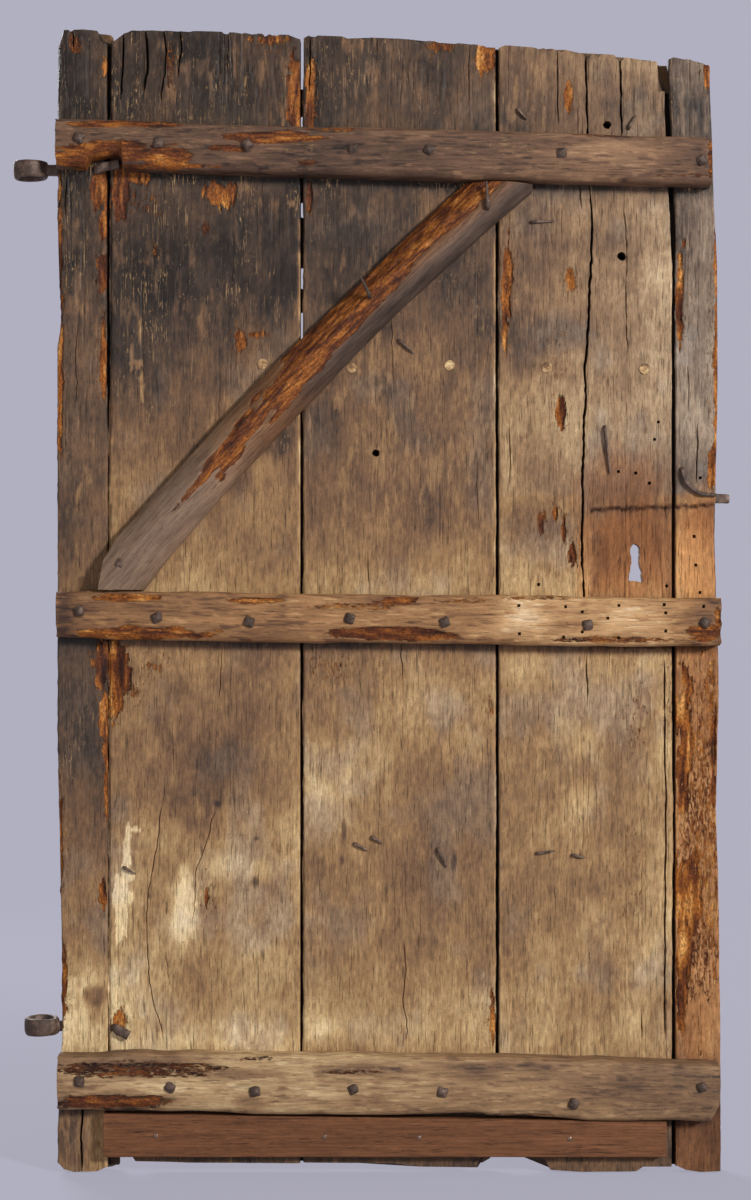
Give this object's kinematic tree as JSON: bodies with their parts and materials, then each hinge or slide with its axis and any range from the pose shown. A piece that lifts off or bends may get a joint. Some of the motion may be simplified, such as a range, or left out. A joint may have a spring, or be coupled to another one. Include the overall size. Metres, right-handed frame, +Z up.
{
  "type": "ledged and braced plank door leaf",
  "caption": "Weathered plank door leaf with a shallow arched top, cross ledges, a bowed diagonal brace, a foot board, forged hinge eyes, nail heads and a keyhole.",
  "frame": {"origin": "centre of the lower hinge eye's bore, which is the pin the leaf turns on", "axes": "+X across the leaf from the hinge edge to the lock edge, +Z up, and the ledged face looks along -Y"},
  "size_m": [1.0784, 0.0895, 1.7139],
  "materials": {
    "board_wood": "old oak boards, dark patina above, bleached tan below",
    "stile_wood": "old oak stiles, brown patina with torn orange edges",
    "ledge_wood": "waney old oak ledges, brown with raw torn fibre",
    "brace_wood": "split oak pole, torn orange face and dark smooth face",
    "foot_board_wood": "planed red-brown softwood",
    "peg_wood": "pale end grain",
    "forged_iron": "brown rusted wrought iron",
    "wire_nail_steel": "dull drawn steel"
  },
  "bodies": {
    "root": {"hanging_stile": "stile_wood", "hinge_board": "board_wood", "middle_board": "board_wood", "lock_board": "board_wood", "lock_stile": "stile_wood", "top_ledge": "ledge_wood", "middle_ledge": "ledge_wood", "bottom_ledge": "ledge_wood", "brace": "brace_wood", "foot_board": "foot_board_wood", "upper_hinge_eye": "forged_iron", "lower_hinge_eye": "forged_iron", "top_ledge_nails": "forged_iron", "middle_ledge_nails": "forged_iron", "bottom_ledge_nails": "forged_iron", "brace_nails": "forged_iron", "foot_board_nails": "wire_nail_steel", "clenched_nails": "forged_iron", "bent_spike": "forged_iron", "latch_bar": "forged_iron", "wooden_pegs": "peg_wood"}
  },
  "joints": []
}
